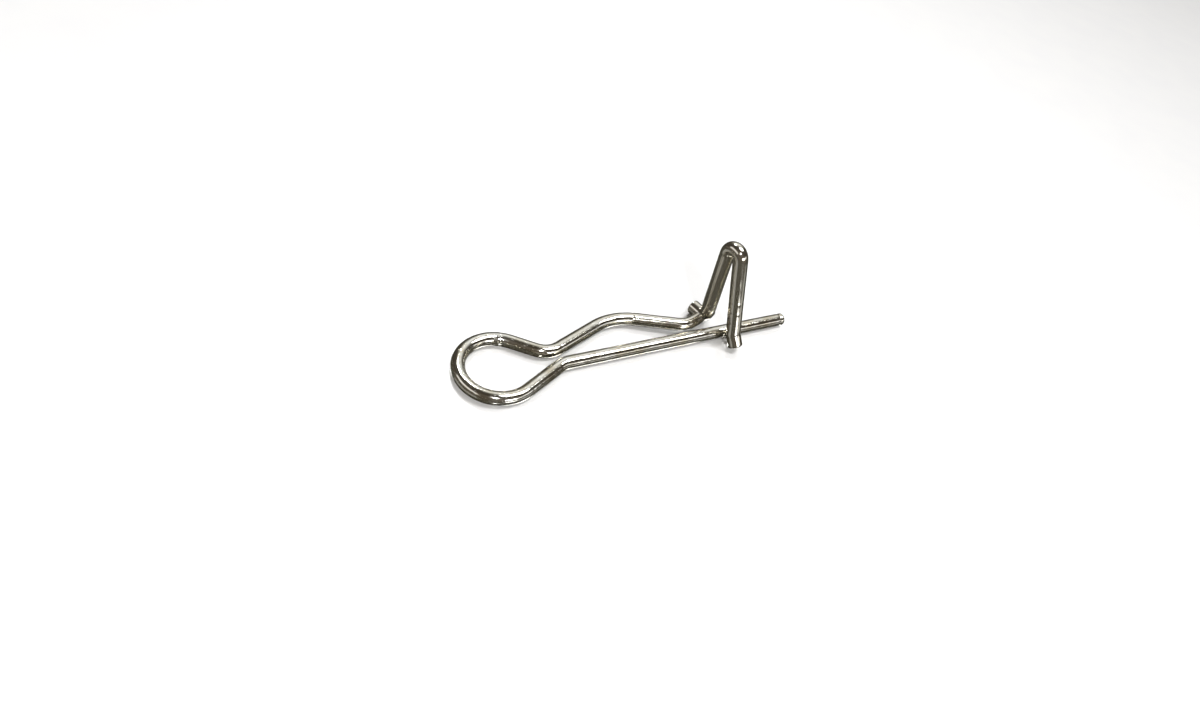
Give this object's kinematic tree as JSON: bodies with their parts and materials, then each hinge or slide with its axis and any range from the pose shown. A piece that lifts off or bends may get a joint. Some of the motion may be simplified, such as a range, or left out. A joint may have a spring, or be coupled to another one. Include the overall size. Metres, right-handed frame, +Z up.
{
  "type": "hitch pin clip with locking bail",
  "caption": "Spring wire clip with an eye and a humped leg that grips a cross-drilled pin, and a pivoting wire bail that closes over its straight leg to lock it.",
  "frame": {"origin": "on the underside of the straight leg, across from the crest of the hump, where the axis of the locked pin passes", "axes": "+X along the straight leg towards its tip, +Y towards the humped leg, +Z up to the bail's apex"},
  "size_m": [0.084, 0.0194, 0.025],
  "materials": {
    "plated_spring_wire": "bright zinc or nickel plated spring wire, lightly worn",
    "plated_bail_wire": "bright plated wire, slightly yellowed, lightly worn"
  },
  "bodies": {
    "clip": {"spring_clip": "plated_spring_wire"},
    "bail": {"locking_bail": "plated_bail_wire"}
  },
  "joints": [
    {"name": "bail_hinge", "type": "hinge", "parent": "clip", "child": "bail", "pos_m": [0.02275, 0.0053, 0.00245], "axis": [-0.9542, -0.299, 0], "range_deg": [0, 115]}
  ]
}
